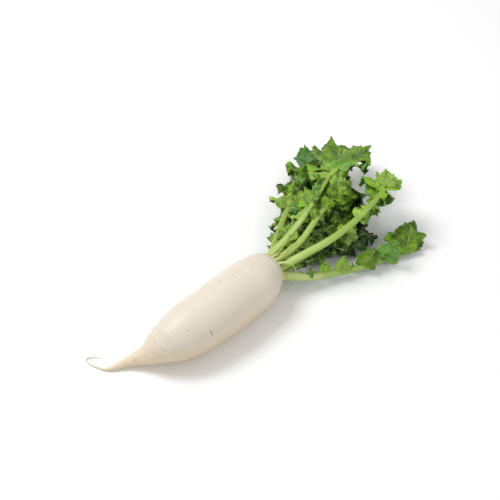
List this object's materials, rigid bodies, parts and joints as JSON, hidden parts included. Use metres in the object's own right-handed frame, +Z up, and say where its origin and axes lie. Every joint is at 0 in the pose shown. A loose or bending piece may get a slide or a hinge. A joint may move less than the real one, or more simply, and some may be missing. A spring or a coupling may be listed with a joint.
{
  "type": "daikon radish",
  "caption": "Whole white daikon radish lying on its side, with fleshy stalks of toothed green leaves at the crown and a long thread-like tail.",
  "frame": {"origin": "centre of the small flat on the belly that the root rests on", "axes": "+X along the root from its tail to its crown and leaves, +Z up from the surface it lies on, +Y to the root's left seen from the tail"},
  "size_m": [0.4871, 0.2276, 0.0966],
  "materials": {
    "root_skin": "satin",
    "leaf": "satin",
    "withered_stalk": "matte"
  },
  "bodies": {
    "root": {"root": "root_skin", "leaf_right_low": "leaf", "leaf_right_long": "leaf", "leaf_middle": "leaf", "leaf_under": "leaf", "leaf_left_high": "leaf", "leaf_inner": "leaf", "leaf_left_low": "leaf", "leaf_bottom": "leaf", "withered_stalk_upper": "withered_stalk", "withered_stalk_middle": "withered_stalk", "withered_stalk_lower": "withered_stalk"}
  },
  "joints": []
}
